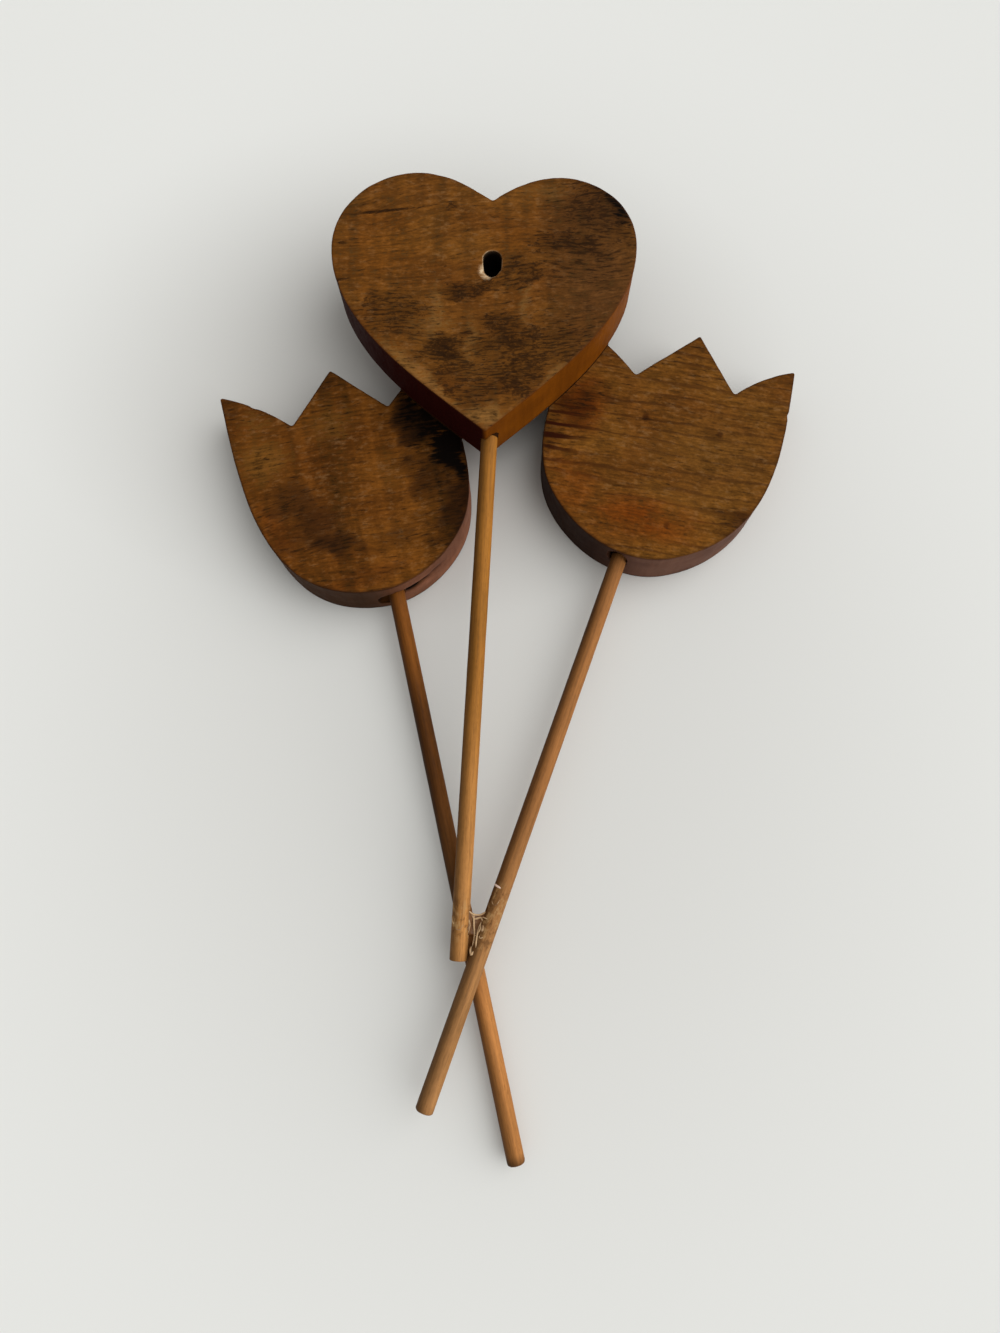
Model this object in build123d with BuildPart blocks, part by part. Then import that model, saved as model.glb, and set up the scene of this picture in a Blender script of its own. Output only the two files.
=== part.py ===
"""Folk-art wall bouquet: two tulips and a heart blossom, sawn from board, on dowel stems.

The bouquet lies on its back. +Z points out of its face, +Y runs from the stems up to the heart
and +X to the viewer's right. The tulips lie on Z = 0 and the heart is glued across their inner
petals. Each blossom has a dowel in a blind socket that is drilled into its lower edge. The right
tulip's stem passes over the left one, and the heart's stem comes down to rest on the left one too.
Lengths are in millimetres and leans in degrees, positive to the viewer's right.
"""

import os
from math import cos, radians, sin, tan

from build123d import *

# Stock and fits
board_thickness = 19.05
dowel_diameter = 5.9
socket_clearance = 0.2
socket_depth = 16.0
drill_point_angle = 118.0
seat_gap = 0.5
stem_gap = 0.1
glue_film = 0.2
edge_ease = 0.5
tip_round = 0.8
stem_seat_chamfer = 0.6
stem_end_chamfer = 0.9
stem_cut_chamfer = 0.3

# Heart board: its own frame has the tip at the origin and +Y up the middle of the flanks
heart_tip_left = 7.5
heart_tip_up = 65.2
heart_lean_angle = -0.73
heart_flank_angle = 40.5
heart_left_reach = 55.1
heart_left_reach_height = 75.0
heart_left_lobe_aside = 21.0
heart_left_lobe_height = 105.6
heart_right_reach = 55.4
heart_right_reach_height = 74.3
heart_right_lobe_aside = 24.0
heart_right_lobe_height = 102.1
heart_cusp_aside = 3.7
heart_cusp_height = 92.9
heart_cusp_angle = 38.0

# Hanging hole, measured up the heart's own frame, worn oblong downwards at the face,
# with the rim chipped away beside the wear
hole_aside = 3.2
hole_height = 68.1
hole_diameter = 6.35
wear_drop = 3.9
wear_depth = 5.0
chip_radius = 4.3
chip_depth = 1.1
chip_aside = 0.8
chip_drop = 3.9

# Left tulip board: its own frame has the origin midway between the notches and +Y up the petals.
# Sizes named outer run away from the heart and sizes named inner towards it.
left_place_left = 61.5
left_place_up = 82.4
left_lean_angle = -12.5
left_notch = 18.0
left_petal_rise = 19.6
left_petal_aside = 0.4
left_outer_tip = 42.5
left_outer_tip_rise = 17.6
left_outer_flare_angle = 3.0
left_outer_cheek = 16.1
left_outer_cheek_rise = 4.6
left_inner_tip = 42.5
left_inner_tip_rise = 17.6
left_inner_flare_angle = 12.0
left_inner_cheek = 36.0
left_inner_cheek_rise = 19.6
left_bowl_aside = 3.4
left_bowl_depth = 69.6

# Right tulip board, the same pattern turned over
right_place_right = 65.7
right_place_up = 94.3
right_lean_angle = 13.6
right_notch = 18.5
right_petal_rise = 21.4
right_petal_aside = 1.75
right_outer_tip = 38.7
right_outer_tip_rise = 14.4
right_outer_flare_angle = -1.0
right_outer_cheek = 27.7
right_outer_cheek_rise = 17.5
right_inner_tip = 46.5
right_inner_tip_rise = 17.6
right_inner_flare_angle = 8.0
right_inner_cheek = 41.85
right_inner_cheek_rise = 23.0
right_bowl_aside = 4.0
right_bowl_depth = 70.5

# The upper edges of the side petals are sawn full, by this much at mid-length
petal_fullness = 1.6

# Stems: how far from its board's axis each one leaves the board, its lean, and how far it runs on
# past the crossing. The heart's stem comes to rest on the left stem, this far above the crossing,
# and is cut off square where it meets the right one.
left_stem_aside = 6.8
left_stem_lean_angle = -12.75
left_stem_tail = 60.8
right_stem_aside = 9.7
right_stem_lean_angle = 20.05
right_stem_tail = 45.1
heart_stem_aside = 1.05
heart_stem_rest = 19.5

# Glue: how far it stays back inside the socket mouths, and the bead in the crotch of the stems,
# with its height above the crossing and how far it laps round the stems beside it
socket_glue_setback = 2.5
bead_up = 11.0
bead_length = 16.0
bead_lap = 1.6

dowel_radius = dowel_diameter / 2
hole_radius = hole_diameter / 2
socket_radius = dowel_radius + socket_clearance
socket_point = socket_radius / tan(radians(drill_point_angle / 2))
stem_seat = socket_depth - seat_gap
heart_back = board_thickness + glue_film
chip_ball_radius = (chip_radius**2 + chip_depth**2) / (2 * chip_depth)
mid_board = board_thickness / 2


def board_plane(place, lean, height):
    """Plane at a board's back face, with its local Y leaning the way the board leans."""
    turn = radians(lean)
    return Plane((*place, height), x_dir=(cos(turn), -sin(turn), 0), z_dir=(0, 0, 1))


heart_tip = (-heart_tip_left, heart_tip_up)
heart_plane = board_plane(heart_tip, heart_lean_angle, heart_back)
left_plane = board_plane((-left_place_left, left_place_up), left_lean_angle, 0)
right_plane = board_plane((right_place_right, right_place_up), right_lean_angle, 0)


def heart_outline(plane):
    """Face of the heart board."""
    flank = radians(heart_flank_angle)
    slope = radians(heart_cusp_angle)
    cusp = (heart_cusp_aside, heart_cusp_height)
    left_widest = (-heart_left_reach, heart_left_reach_height)
    right_widest = (heart_right_reach, heart_right_reach_height)
    left_lobe = (-heart_left_lobe_aside, heart_left_lobe_height)
    right_lobe = (heart_right_lobe_aside, heart_right_lobe_height)
    with BuildSketch(plane) as outline:
        with BuildLine():
            for side, widest, lobe in ((-1, left_widest, left_lobe), (1, right_widest, right_lobe)):
                up_the_flank = (side * cos(flank), sin(flank))
                into_the_cusp = (-side * cos(slope), -sin(slope))
                Spline((0, 0), widest, tangents=(up_the_flank, (0, 1)), tangent_scalars=(1, 1))
                shoulder = TangentArc(widest, lobe, tangent=(0, 1))
                Spline(lobe, cusp, tangents=(shoulder % 1, into_the_cusp), tangent_scalars=(1, 1))
        make_face()
        corners = vertices().sort_by(Axis.Y)[0:1] + vertices().sort_by_distance(cusp)[0:1]
        fillet(corners, radius=tip_round)
    return outline.sketch


def tulip_outline(plane, out, notch, petal, bowl, tips, cheeks, flares):
    """Face of a tulip board, where out is -1 if its outer side is to the left.

    Tips, cheeks and flares are given for the outer side first: the petal's tip, the point where the
    side turns in to the bowl, and the angle by which the side runs in from the tip.
    """
    petal_aside, petal_rise = petal
    bowl_aside, bowl_depth = bowl
    bottom = (-out * bowl_aside, -bowl_depth)
    with BuildSketch(plane) as outline:
        with BuildLine():
            Polyline((out * notch, 0), (out * petal_aside, petal_rise), (-out * notch, 0))
            for side, (reach, rise), cheek, flare in zip((out, -out), tips, cheeks, flares):
                tip = (side * reach, rise)
                turn_in = (side * cheek[0], cheek[1] - bowl_depth)
                down_the_side = (-side * sin(radians(flare)), -cos(radians(flare)))
                SagittaArc((side * notch, 0), tip, side * petal_fullness)
                Spline(tip, turn_in, bottom, tangents=(down_the_side, (-side, 0)), tangent_scalars=(1, 1))
        make_face()
        fillet(vertices().filter_by(lambda corner: abs(corner.Y + bowl_depth) > tip_round), radius=tip_round)
    return outline.sketch


def left_outline(plane):
    """Face of the left tulip board."""
    return tulip_outline(
        plane,
        out=-1,
        notch=left_notch,
        petal=(left_petal_aside, left_petal_rise),
        bowl=(left_bowl_aside, left_bowl_depth),
        tips=((left_outer_tip, left_outer_tip_rise), (left_inner_tip, left_inner_tip_rise)),
        cheeks=((left_outer_cheek, left_outer_cheek_rise), (left_inner_cheek, left_inner_cheek_rise)),
        flares=(left_outer_flare_angle, left_inner_flare_angle),
    )


def right_outline(plane):
    """Face of the right tulip board."""
    return tulip_outline(
        plane,
        out=1,
        notch=right_notch,
        petal=(right_petal_aside, right_petal_rise),
        bowl=(right_bowl_aside, right_bowl_depth),
        tips=((right_outer_tip, right_outer_tip_rise), (right_inner_tip, right_inner_tip_rise)),
        cheeks=((right_outer_cheek, right_outer_cheek_rise), (right_inner_cheek, right_inner_cheek_rise)),
        flares=(right_outer_flare_angle, right_inner_flare_angle),
    )


def heading(lean):
    """Level direction in which a stem runs down from its blossom."""
    turn = radians(lean)
    return Vector(-sin(turn), -cos(turn), 0)


def plan_cross(first, second):
    """Cross product of two vectors as seen from above."""
    return first.X * second.Y - first.Y * second.X


def stacked_rise(upper, lower):
    """Height from a lower stem's axis to the upper one's where they cross, at stem_gap apart."""
    between = upper.cross(lower).normalized()
    return (dowel_diameter + stem_gap) / abs(between.Z)


# Where the stems leave their blossoms, and the point seen from above where the tulip stems cross
heart_exit = heart_plane.from_local_coords(Vector(heart_stem_aside, 0, mid_board))
left_exit = left_plane.from_local_coords(Vector(left_stem_aside, -left_bowl_depth, mid_board))
right_exit = right_plane.from_local_coords(Vector(-right_stem_aside, -right_bowl_depth, mid_board))
left_heading = heading(left_stem_lean_angle)
right_heading = heading(right_stem_lean_angle)
left_run = plan_cross(right_exit - left_exit, right_heading) / plan_cross(left_heading, right_heading)
crossing = left_exit + left_heading * left_run

# The tulip stems tilt apart until one dowel lies on the other, and then the heart's stem tilts
# down until it lies on the left one. A few passes settle each tilt.
settling_passes = 6
tulip_rise = dowel_diameter
heart_rise = dowel_diameter
for _ in range(settling_passes):
    left_aim = crossing - Vector(0, 0, tulip_rise / 2)
    right_aim = crossing + Vector(0, 0, tulip_rise / 2)
    left_axis = (left_aim - left_exit).normalized()
    right_axis = (right_aim - right_exit).normalized()
    tulip_rise = stacked_rise(right_axis, left_axis)
    heart_aim = left_aim - left_axis * heart_stem_rest + Vector(0, 0, heart_rise)
    heart_axis = (heart_aim - heart_exit).normalized()
    heart_rise = stacked_rise(heart_axis, left_axis)

# The heart's stem is cut off where the corner of its end comes up to the right stem
end_reach = dowel_radius * (1 + heart_axis.dot(right_axis)) + stem_gap
heart_stem_tail = 0
for _ in range(settling_passes):
    heart_end = heart_aim + heart_axis * heart_stem_tail
    right_axis_distance = (heart_end - right_aim).cross(right_axis).length
    heart_stem_tail += (right_axis_distance - end_reach) / heart_axis.cross(right_axis).length

# Plane at the mouth of each socket, with its Z along the stem, and the length of the stem beyond it
heart_mouth = Plane(heart_exit, z_dir=heart_axis)
left_mouth = Plane(left_exit, z_dir=left_axis)
right_mouth = Plane(right_exit, z_dir=right_axis)
heart_stem_length = (heart_aim - heart_exit).length + heart_stem_tail
left_stem_length = (left_aim - left_exit).length + left_stem_tail
right_stem_length = (right_aim - right_exit).length + right_stem_tail


def ease_faces():
    """Break the front and back edges of the current board."""
    ordered = faces().sort_by(Axis.Z)
    chamfer(ordered[0].edges() + ordered[-1].edges(), length=edge_ease)


def lengthwise(mouth):
    """Plane through a stem's axis, with its local Y along the stem."""
    return Plane(mouth.origin, x_dir=mouth.x_dir, z_dir=-mouth.y_dir)


def drill_socket(mouth):
    """Drill the blind socket for a stem into the current board, cone point included."""
    with BuildSketch(lengthwise(mouth)) as profile:
        with BuildLine():
            Polyline(
                (0, dowel_diameter),
                (socket_radius, dowel_diameter),
                (socket_radius, -socket_depth),
                (0, -socket_depth - socket_point),
                close=True,
            )
        make_face()
    revolve(profile.sketch, axis=Axis(mouth.origin, mouth.z_dir), mode=Mode.SUBTRACT)


def make_stem(mouth, length, end_chamfer):
    """Dowel from its chamfered end in the socket to its free end, with the corner taken off."""
    with BuildPart() as stem:
        with BuildSketch(mouth.offset(-stem_seat)):
            Circle(dowel_radius)
        extrude(amount=stem_seat + length)
        rims = stem.edges().filter_by(GeomType.CIRCLE).sort_by(Axis(mouth.origin, mouth.z_dir))
        chamfer(rims[0], length=stem_seat_chamfer)
        chamfer(rims[-1], length=end_chamfer)
    return stem


def make_socket_glue(mouth):
    """Glue sleeve round a stem in its socket, closed by the glue in the drill point."""
    with BuildPart() as glue:
        with BuildSketch(lengthwise(mouth)):
            with BuildLine():
                Polyline(
                    (dowel_radius, -socket_glue_setback),
                    (socket_radius, -socket_glue_setback),
                    (socket_radius, -socket_depth),
                    (0, -socket_depth - socket_point),
                    (0, -stem_seat),
                    (dowel_radius - stem_seat_chamfer, -stem_seat),
                    (dowel_radius, -stem_seat + stem_seat_chamfer),
                    close=True,
                )
            make_face()
        revolve(axis=Axis(mouth.origin, mouth.z_dir))
    return glue


def make_lap_glue(tulip_face):
    """Glue film between the heart's back and a tulip's face, out to both outlines."""
    with BuildPart() as film:
        with BuildSketch(Plane.XY.offset(board_thickness)):
            add(heart_outline(board_plane(heart_tip, heart_lean_angle, 0)))
            add(tulip_face, mode=Mode.INTERSECT)
        extrude(amount=glue_film)
    return film


with BuildPart() as heart:
    extrude(heart_outline(heart_plane), amount=board_thickness)
    ease_faces()
    drill_socket(heart_mouth)
    with BuildSketch(heart_plane):
        with Locations((hole_aside, hole_height)):
            Circle(hole_radius)
    extrude(amount=board_thickness, mode=Mode.SUBTRACT)
    heart_face = heart_plane.offset(board_thickness)
    with BuildSketch(heart_face):
        with Locations((hole_aside, hole_height - wear_drop / 2)):
            SlotCenterToCenter(wear_drop, hole_diameter, rotation=90)
    extrude(amount=-wear_depth, mode=Mode.SUBTRACT)
    chip_place = Vector(hole_aside - chip_aside, hole_height - chip_drop, chip_ball_radius - chip_depth)
    with Locations(heart_face.from_local_coords(chip_place)):
        Sphere(chip_ball_radius, mode=Mode.SUBTRACT)

with BuildPart() as left_tulip:
    extrude(left_outline(left_plane), amount=board_thickness)
    ease_faces()
    drill_socket(left_mouth)

with BuildPart() as right_tulip:
    extrude(right_outline(right_plane), amount=board_thickness)
    ease_faces()
    drill_socket(right_mouth)

heart_stem = make_stem(heart_mouth, heart_stem_length, stem_cut_chamfer)
left_stem = make_stem(left_mouth, left_stem_length, stem_end_chamfer)
right_stem = make_stem(right_mouth, right_stem_length, stem_end_chamfer)

left_lap_glue = make_lap_glue(left_outline(left_plane))
right_lap_glue = make_lap_glue(right_outline(right_plane))

heart_socket_glue = make_socket_glue(heart_mouth)
left_socket_glue = make_socket_glue(left_mouth)
right_socket_glue = make_socket_glue(right_mouth)

# The bead of glue fills the crotch between the heart's stem and the right one, just above the
# crossing, and runs down onto the left stem
bead_y = crossing.Y + bead_up
heart_side = heart_aim + heart_axis * ((bead_y - heart_aim.Y) / heart_axis.Y)
right_side = right_aim + right_axis * ((bead_y - right_aim.Y) / right_axis.Y)
bead_plane = lengthwise(Plane((heart_side + right_side) / 2, z_dir=heart_axis + right_axis))
bead_radius = (right_side - heart_side).length / 2 - dowel_radius + bead_lap

with BuildPart() as crossing_glue:
    with BuildSketch(bead_plane):
        with BuildLine():
            lower_end = CenterArc((0, bead_radius - bead_length / 2), bead_radius, -90, 90)
            upper_end = CenterArc((0, bead_length / 2 - bead_radius), bead_radius, 0, 90)
            Line(lower_end @ 1, upper_end @ 0)
            Line(upper_end @ 1, lower_end @ 0)
        make_face()
    revolve(axis=Axis(bead_plane.origin, bead_plane.y_dir))
    for stem in (heart_stem, left_stem, right_stem):
        add(stem.part, mode=Mode.SUBTRACT)

os.makedirs("parts", exist_ok=True)
pieces = {
    "heart": heart,
    "left_tulip": left_tulip,
    "right_tulip": right_tulip,
    "heart_stem": heart_stem,
    "left_stem": left_stem,
    "right_stem": right_stem,
    "crossing_glue": crossing_glue,
    "left_lap_glue": left_lap_glue,
    "right_lap_glue": right_lap_glue,
    "heart_socket_glue": heart_socket_glue,
    "left_socket_glue": left_socket_glue,
    "right_socket_glue": right_socket_glue,
}
for name, piece in pieces.items():
    piece.part.label = name
    export_step(piece.part, f"parts/{name}.step")
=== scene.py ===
"""Looks of the wall bouquet: sawn boards with worn edges, dowel stems and the dried glue on them.

Meshes are worked out in millimetres in the frame of the CAD model and written in metres.
Plan points are (x, y) pairs, seen from above. Every mesh carries a vector attribute, grain: the
place of a point in its own piece of wood, in millimetres, with the first number along the fibres.
"""

from math import cos, pi, radians, sin

import bmesh
import bpy
import numpy as np
from mathutils import Matrix, Vector
from mathutils import noise as perlin
from mathutils.geometry import delaunay_2d_cdt


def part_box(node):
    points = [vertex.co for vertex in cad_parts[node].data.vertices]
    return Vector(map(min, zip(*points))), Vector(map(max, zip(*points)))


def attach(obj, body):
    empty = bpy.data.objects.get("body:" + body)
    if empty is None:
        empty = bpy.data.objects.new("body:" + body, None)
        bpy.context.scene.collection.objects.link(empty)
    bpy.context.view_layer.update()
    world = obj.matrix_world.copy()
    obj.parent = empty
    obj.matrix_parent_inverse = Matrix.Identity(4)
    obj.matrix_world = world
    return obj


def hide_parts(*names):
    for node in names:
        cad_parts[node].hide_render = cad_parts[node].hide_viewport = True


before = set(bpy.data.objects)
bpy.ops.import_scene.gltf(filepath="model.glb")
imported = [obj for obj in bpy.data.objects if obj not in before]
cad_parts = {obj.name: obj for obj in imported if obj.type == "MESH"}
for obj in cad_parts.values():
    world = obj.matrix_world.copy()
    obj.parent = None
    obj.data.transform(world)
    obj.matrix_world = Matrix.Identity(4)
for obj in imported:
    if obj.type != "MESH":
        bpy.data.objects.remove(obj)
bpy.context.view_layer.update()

mm = 0.001

# Camera: its place, its focal length in photo pixels and the pixel straight below it
photo_width = 1000
photo_height = 1333
focal_pixels = 860
below_camera = (512, 870)
camera_place = (1.2, -80.1, 304.7)

# Boards: the origin of each one's own frame in plan, and its lean to the right in degrees
board_frames = {
    "heart": ((-7.5, 65.2), -0.73),
    "left_tulip": ((-61.5, 82.4), -12.5),
    "right_tulip": ((65.7, 94.3), 13.6),
}

# Edges of the boards, eased in the CAD model and rounded by wear here, and the spacing of mesh points
edge_ease = 0.5
edge_round = 0.5
edge_turns = 5
outline_step = 0.6
wall_step = 0.9
face_step = 1.7

# Hanging hole in the heart's own frame, worn oblong downwards, with the rim chipped away beside it
hole_place = (3.2, 68.1)
hole_radius = 3.175
wear_drop = 3.9
wear_depth = 5.0
chip_place = (1.7, 63.0)
chip_radius = 3.7
chip_depth = 1.1

# Stems and their sockets. A socket starts to widen at mouth_start from the stem's seat, and is torn out
# in full mouth_blend further on. The grain of one stem lies stem_gap from that of the next
dowel_radius = 2.95
socket_radius = 3.15
mouth_start = 10
mouth_blend = 4
stem_step = 2.0
stem_sides = 28
stem_gap = 20

# Dried glue in the crotch of the stems: the ends of its film up the bouquet, its thickness, its turn on
# the stems in degrees, its bite into them, its sag as a share of its width and the dip of its upper end
film_top = -92.6
film_low = -100.6
film_thick = 0.6
film_turn = 20
film_bite = 0.4
film_sag = 0.22
film_dip = 1.8

# Light and floor: a broad key light from the right, a fill that fades from right to left, the reach of
# the floor in metres, and its colours away from the bouquet and near it, where a painted shadow darkens it
key_strength = 2.1
key_spread = 78
key_from = (0.95, 0.0, 1.0)
fill_colour = (1.0, 0.99, 0.97, 1.0)
fill_left = 0.4
fill_right = 0.66
fill_turn = 0.8
floor_reach = 3.0
floor_pale = (228, 229, 226)
floor_painted_halo = (198, 197, 193)


def own_frame(node, points):
    """Plan points in a board's own frame, from points in the frame of the model."""
    origin, lean = board_frames[node]
    turn = radians(lean)
    x, y = (np.asarray(points)[..., :2] - origin).T
    return np.stack([x * cos(turn) - y * sin(turn), x * sin(turn) + y * cos(turn)], -1)


def model_frame(node, points):
    """Plan points in the frame of the model, from points in a board's own frame."""
    origin, lean = board_frames[node]
    turn = radians(lean)
    u, v = np.asarray(points, float).T
    return np.stack([u * cos(turn) + v * sin(turn), v * cos(turn) - u * sin(turn)], -1) + origin


def ripple(points, size, seed):
    """Smooth noise from -1 to 1 at each plan point, with swells about as far apart as size says."""
    return np.array([perlin.noise((x / size, y / size, 7.3 * seed)) for x, y in points])


def make_object(name, points, faces, grain, marks):
    """Smooth-shaded object from points in mm, with its grain and further point attributes."""
    mesh = bpy.data.meshes.new(name)
    mesh.from_pydata((np.asarray(points) * mm).tolist(), [], faces)
    mesh.attributes.new("grain", "FLOAT_VECTOR", "POINT").data.foreach_set("vector", np.ravel(grain))
    for mark, values in marks.items():
        mesh.attributes.new(mark, "FLOAT", "POINT").data.foreach_set("value", np.ravel(values))
    mesh.shade_smooth()
    mesh.update()
    piece = bpy.data.objects.new(name, mesh)
    bpy.context.scene.collection.objects.link(piece)
    return piece


# Outlines


def board_outline(node):
    """Outline of a CAD board as plan points, anticlockwise, read just above its eased back edge."""
    solid = bmesh.new()
    solid.from_mesh(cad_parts[node].data)
    bmesh.ops.remove_doubles(solid, verts=solid.verts, dist=1e-6)
    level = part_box(node)[0].z + edge_ease * mm
    beside = {}
    for edge in solid.edges:
        if all(abs(corner.co.z - level) < 1e-5 for corner in edge.verts):
            for corner in edge.verts:
                beside.setdefault(corner, []).append(edge.other_vert(corner))
    corner = next(iter(beside))
    loop = []
    while corner is not None:
        loop.append(corner.co.xy / mm)
        onward = [near for near in beside.pop(corner) if near in beside]
        corner = onward[0] if onward else None
    solid.free()
    loop = np.array(loop)
    after = np.roll(loop, -1, axis=0)
    area = (loop[:, 0] * after[:, 1] - loop[:, 1] * after[:, 0]).sum()
    return loop if area > 0 else loop[::-1]


def resample(loop, step):
    """Points spaced evenly round a closed loop."""
    closed = np.vstack([loop, loop[:1]])
    run = np.concatenate([[0], np.cumsum(np.linalg.norm(np.diff(closed, axis=0), axis=1))])
    stops = np.linspace(0, run[-1], int(run[-1] / step), endpoint=False)
    return np.stack([np.interp(stops, run, closed[:, axis]) for axis in (0, 1)], -1)


def inward(loop):
    """Unit vectors into an anticlockwise loop."""
    along = np.roll(loop, -1, axis=0) - np.roll(loop, 1, axis=0)
    along /= np.linalg.norm(along, axis=1)[:, None]
    return np.stack([-along[:, 1], along[:, 0]], -1)


def reach_to(points, loop):
    """Distance from each point to the nearest point of a loop."""
    return np.array([np.linalg.norm(loop - p, axis=1).min() for p in points])


def inside(points, loop):
    """Which points lie within a closed loop."""
    x, y = np.asarray(points).T
    within = np.zeros(len(x), bool)
    for (ax, ay), (bx, by) in zip(loop, np.roll(loop, -1, axis=0)):
        if ay != by:
            within ^= ((ay > y) != (by > y)) & (x < (bx - ax) * (y - ay) / (by - ay) + ax)
    return within


# Shells


class Shell:
    """Points and faces of a mesh while it is being built, with how much painted shade each point gets."""

    def __init__(self):
        self.points = []
        self.painted_shade = []
        self.faces = []

    def add(self, points, painted_shade=0.0):
        """Add points and return their numbers."""
        first = len(self.points)
        self.points += [tuple(point) for point in points]
        self.painted_shade += np.broadcast_to(painted_shade, len(points)).tolist()
        return list(range(first, first + len(points)))

    def ring(self, plan, heights, painted_shade=0.0):
        """Add plan points at a height each, or all at one height, and return their numbers."""
        return self.add(np.column_stack([plan, np.broadcast_to(heights, len(plan))]), painted_shade)

    def join(self, upper, lower):
        """Band of faces between two rings of as many points, facing out of the loop."""
        for here in range(len(upper)):
            beyond = (here + 1) % len(upper)
            self.faces.append((upper[here], lower[here], lower[beyond], upper[beyond]))

    def plan(self, numbers):
        """Plan points by their numbers."""
        return np.array([self.points[number][:2] for number in numbers])

    def fill(self, rims, loose, height, up):
        """Level face between the first rim and any further rims inside it, through loose points."""
        numbers = [number for rim in rims for number in rim]
        numbers += self.ring(loose, height)
        borders = []
        start = 0
        for rim in rims:
            borders += [(start + i, start + (i + 1) % len(rim)) for i in range(len(rim))]
            start += len(rim)
        corners = [Vector(point) for point in self.plan(numbers)]
        flat, _, triangles, sources, _, _ = delaunay_2d_cdt(corners, borders, [], 1, 1e-6)
        middles = np.array(flat)[np.array(triangles)].mean(axis=1)
        keep = np.ones(len(triangles), bool)
        for rim in rims[1:]:
            keep &= ~inside(middles, self.plan(rim))
        for triangle, kept in zip(triangles, keep):
            if kept:
                face = [numbers[sources[corner][0]] for corner in triangle]
                self.faces.append(face if up else face[::-1])

    def tube(self, path, radius, sides=8):
        """Closed thread along points in space, thinner towards its ends."""
        askew = (0.31, 0.17, 0.93)
        path = np.asarray(path, float)
        along = np.gradient(path, axis=0)
        along /= np.linalg.norm(along, axis=1)[:, None]
        shares = np.linspace(0, 1, len(path))
        rows = []
        for point, way, share in zip(path, along, shares):
            side = np.cross(way, askew)
            side /= np.linalg.norm(side)
            up = np.cross(side, way)
            thin = radius * (0.35 + 0.65 * min(1, 6 * share, 6 - 6 * share))
            turns = np.linspace(0, 2 * pi, sides, endpoint=False)
            rows.append(self.add([point + thin * (cos(t) * side + sin(t) * up) for t in turns]))
        for near, far in zip(rows, rows[1:]):
            self.join(near, far)
        self.faces.append(tuple(rows[0]))
        self.faces.append(tuple(rows[-1][::-1]))


# Boards


def loose_points(rims, clear):
    """Points in equal triangles within the first plan loop and outside the rest, clear of them all."""
    row_step = face_step * 0.866
    low, high = rims[0].min(0), rims[0].max(0)
    rows = np.arange(low[1], high[1], row_step)
    spots = []
    for count, y in enumerate(rows):
        xs = np.arange(low[0] + (count % 2) * face_step / 2, high[0], face_step)
        spots += [(x, y) for x in xs]
    spots = np.array(spots)
    spots = spots + 0.25 * np.stack([ripple(spots, 1.3, 3), ripple(spots, 1.3, 4)], -1)
    keep = inside(spots, rims[0])
    for rim in rims[1:]:
        keep &= ~inside(spots, rim)
    for rim in rims:
        keep &= reach_to(spots, rim) > clear
    return spots[keep]


def hole_loop(drop, radius, sides=44):
    """Plan loop of the hanging hole in the heart's own frame, where it is worn down by drop."""
    turns = np.linspace(0, 2 * pi, sides, endpoint=False)
    loop = radius * np.stack([np.cos(turns), np.sin(turns)], -1)
    loop[:, 0] *= 1 - 0.3 * drop / wear_drop * np.clip(-np.sin(turns), 0, 1)
    loop[:, 1] -= drop * np.clip(0.5 - 3 * np.sin(turns), 0, 1)
    return loop + hole_place


def bore_heart(shell, high, low):
    """Walls of the hanging hole. Returns its rims and the points to put round its mouth."""
    sink = np.array([0, 0.35, 1.2, 2.4, 3.6, wear_depth, 7, 11, high - low])
    wear = np.array([1, 0.98, 0.9, 0.7, 0.4, 0.12, 0, 0, 0])
    widen = np.array([0.3, 0.15, 0.05, 0, 0, 0, 0, 0, 0.1])
    # Painted shade down the hanging hole, near-black below its rim
    shade_share = np.array([0.1, 0.9, 0.97, 1, 1, 1, 1, 1, 0.6])
    rings = []
    for depth, share, wide, painted_shade in zip(sink, wear, widen, shade_share):
        loop = hole_loop(wear_drop * share, hole_radius + wide)
        loop = loop + 0.12 * np.stack([ripple(loop, 1.4, depth), ripple(loop, 1.4, depth + 20)], -1)
        rings.append(shell.ring(model_frame("heart", loop), high - depth, painted_shade))
    for upper, lower in zip(rings, rings[1:]):
        shell.join(upper[::-1], lower[::-1])
    mouth = [hole_loop(wear_drop, hole_radius + 0.25 + away, 52) for away in (0.4, 0.9, 1.5, 2.2, 3.1)]
    return rings[0], rings[-1], model_frame("heart", np.vstack(mouth))


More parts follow.
